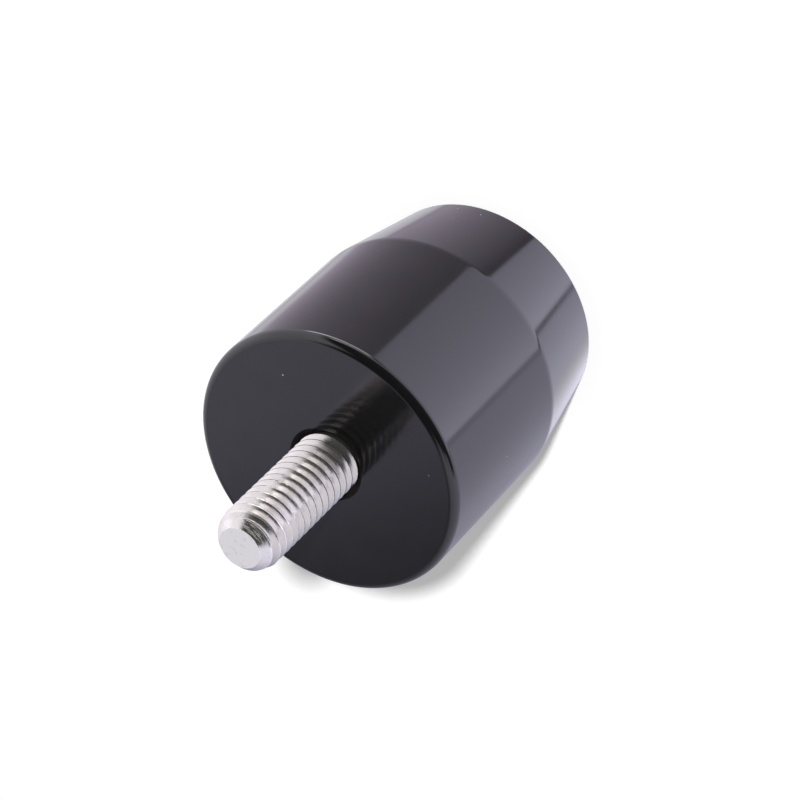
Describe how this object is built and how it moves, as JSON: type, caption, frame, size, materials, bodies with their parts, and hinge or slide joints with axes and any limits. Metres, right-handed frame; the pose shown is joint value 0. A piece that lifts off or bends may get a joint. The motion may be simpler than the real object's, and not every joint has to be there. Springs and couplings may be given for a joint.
{
  "type": "bar end weight",
  "caption": "Turned handlebar end weight: gloss black barrel with a gentle taper to a plain outer end, and a bare threaded stud that screws into the end of the bar.",
  "frame": {"origin": "centre of the flat seat face that meets the end of the handlebar", "axes": "+Z along the stud, out of the seat face; the body lies below and stands on its plain outer end"},
  "size_m": [0.033, 0.033, 0.0538],
  "materials": {
    "black_coating": "smooth gloss black coating",
    "stud_steel": "bare bright steel with a rolled thread and a scuffed point"
  },
  "bodies": {
    "root": {"weight_body": "black_coating", "threaded_stud": "stud_steel"}
  },
  "joints": []
}
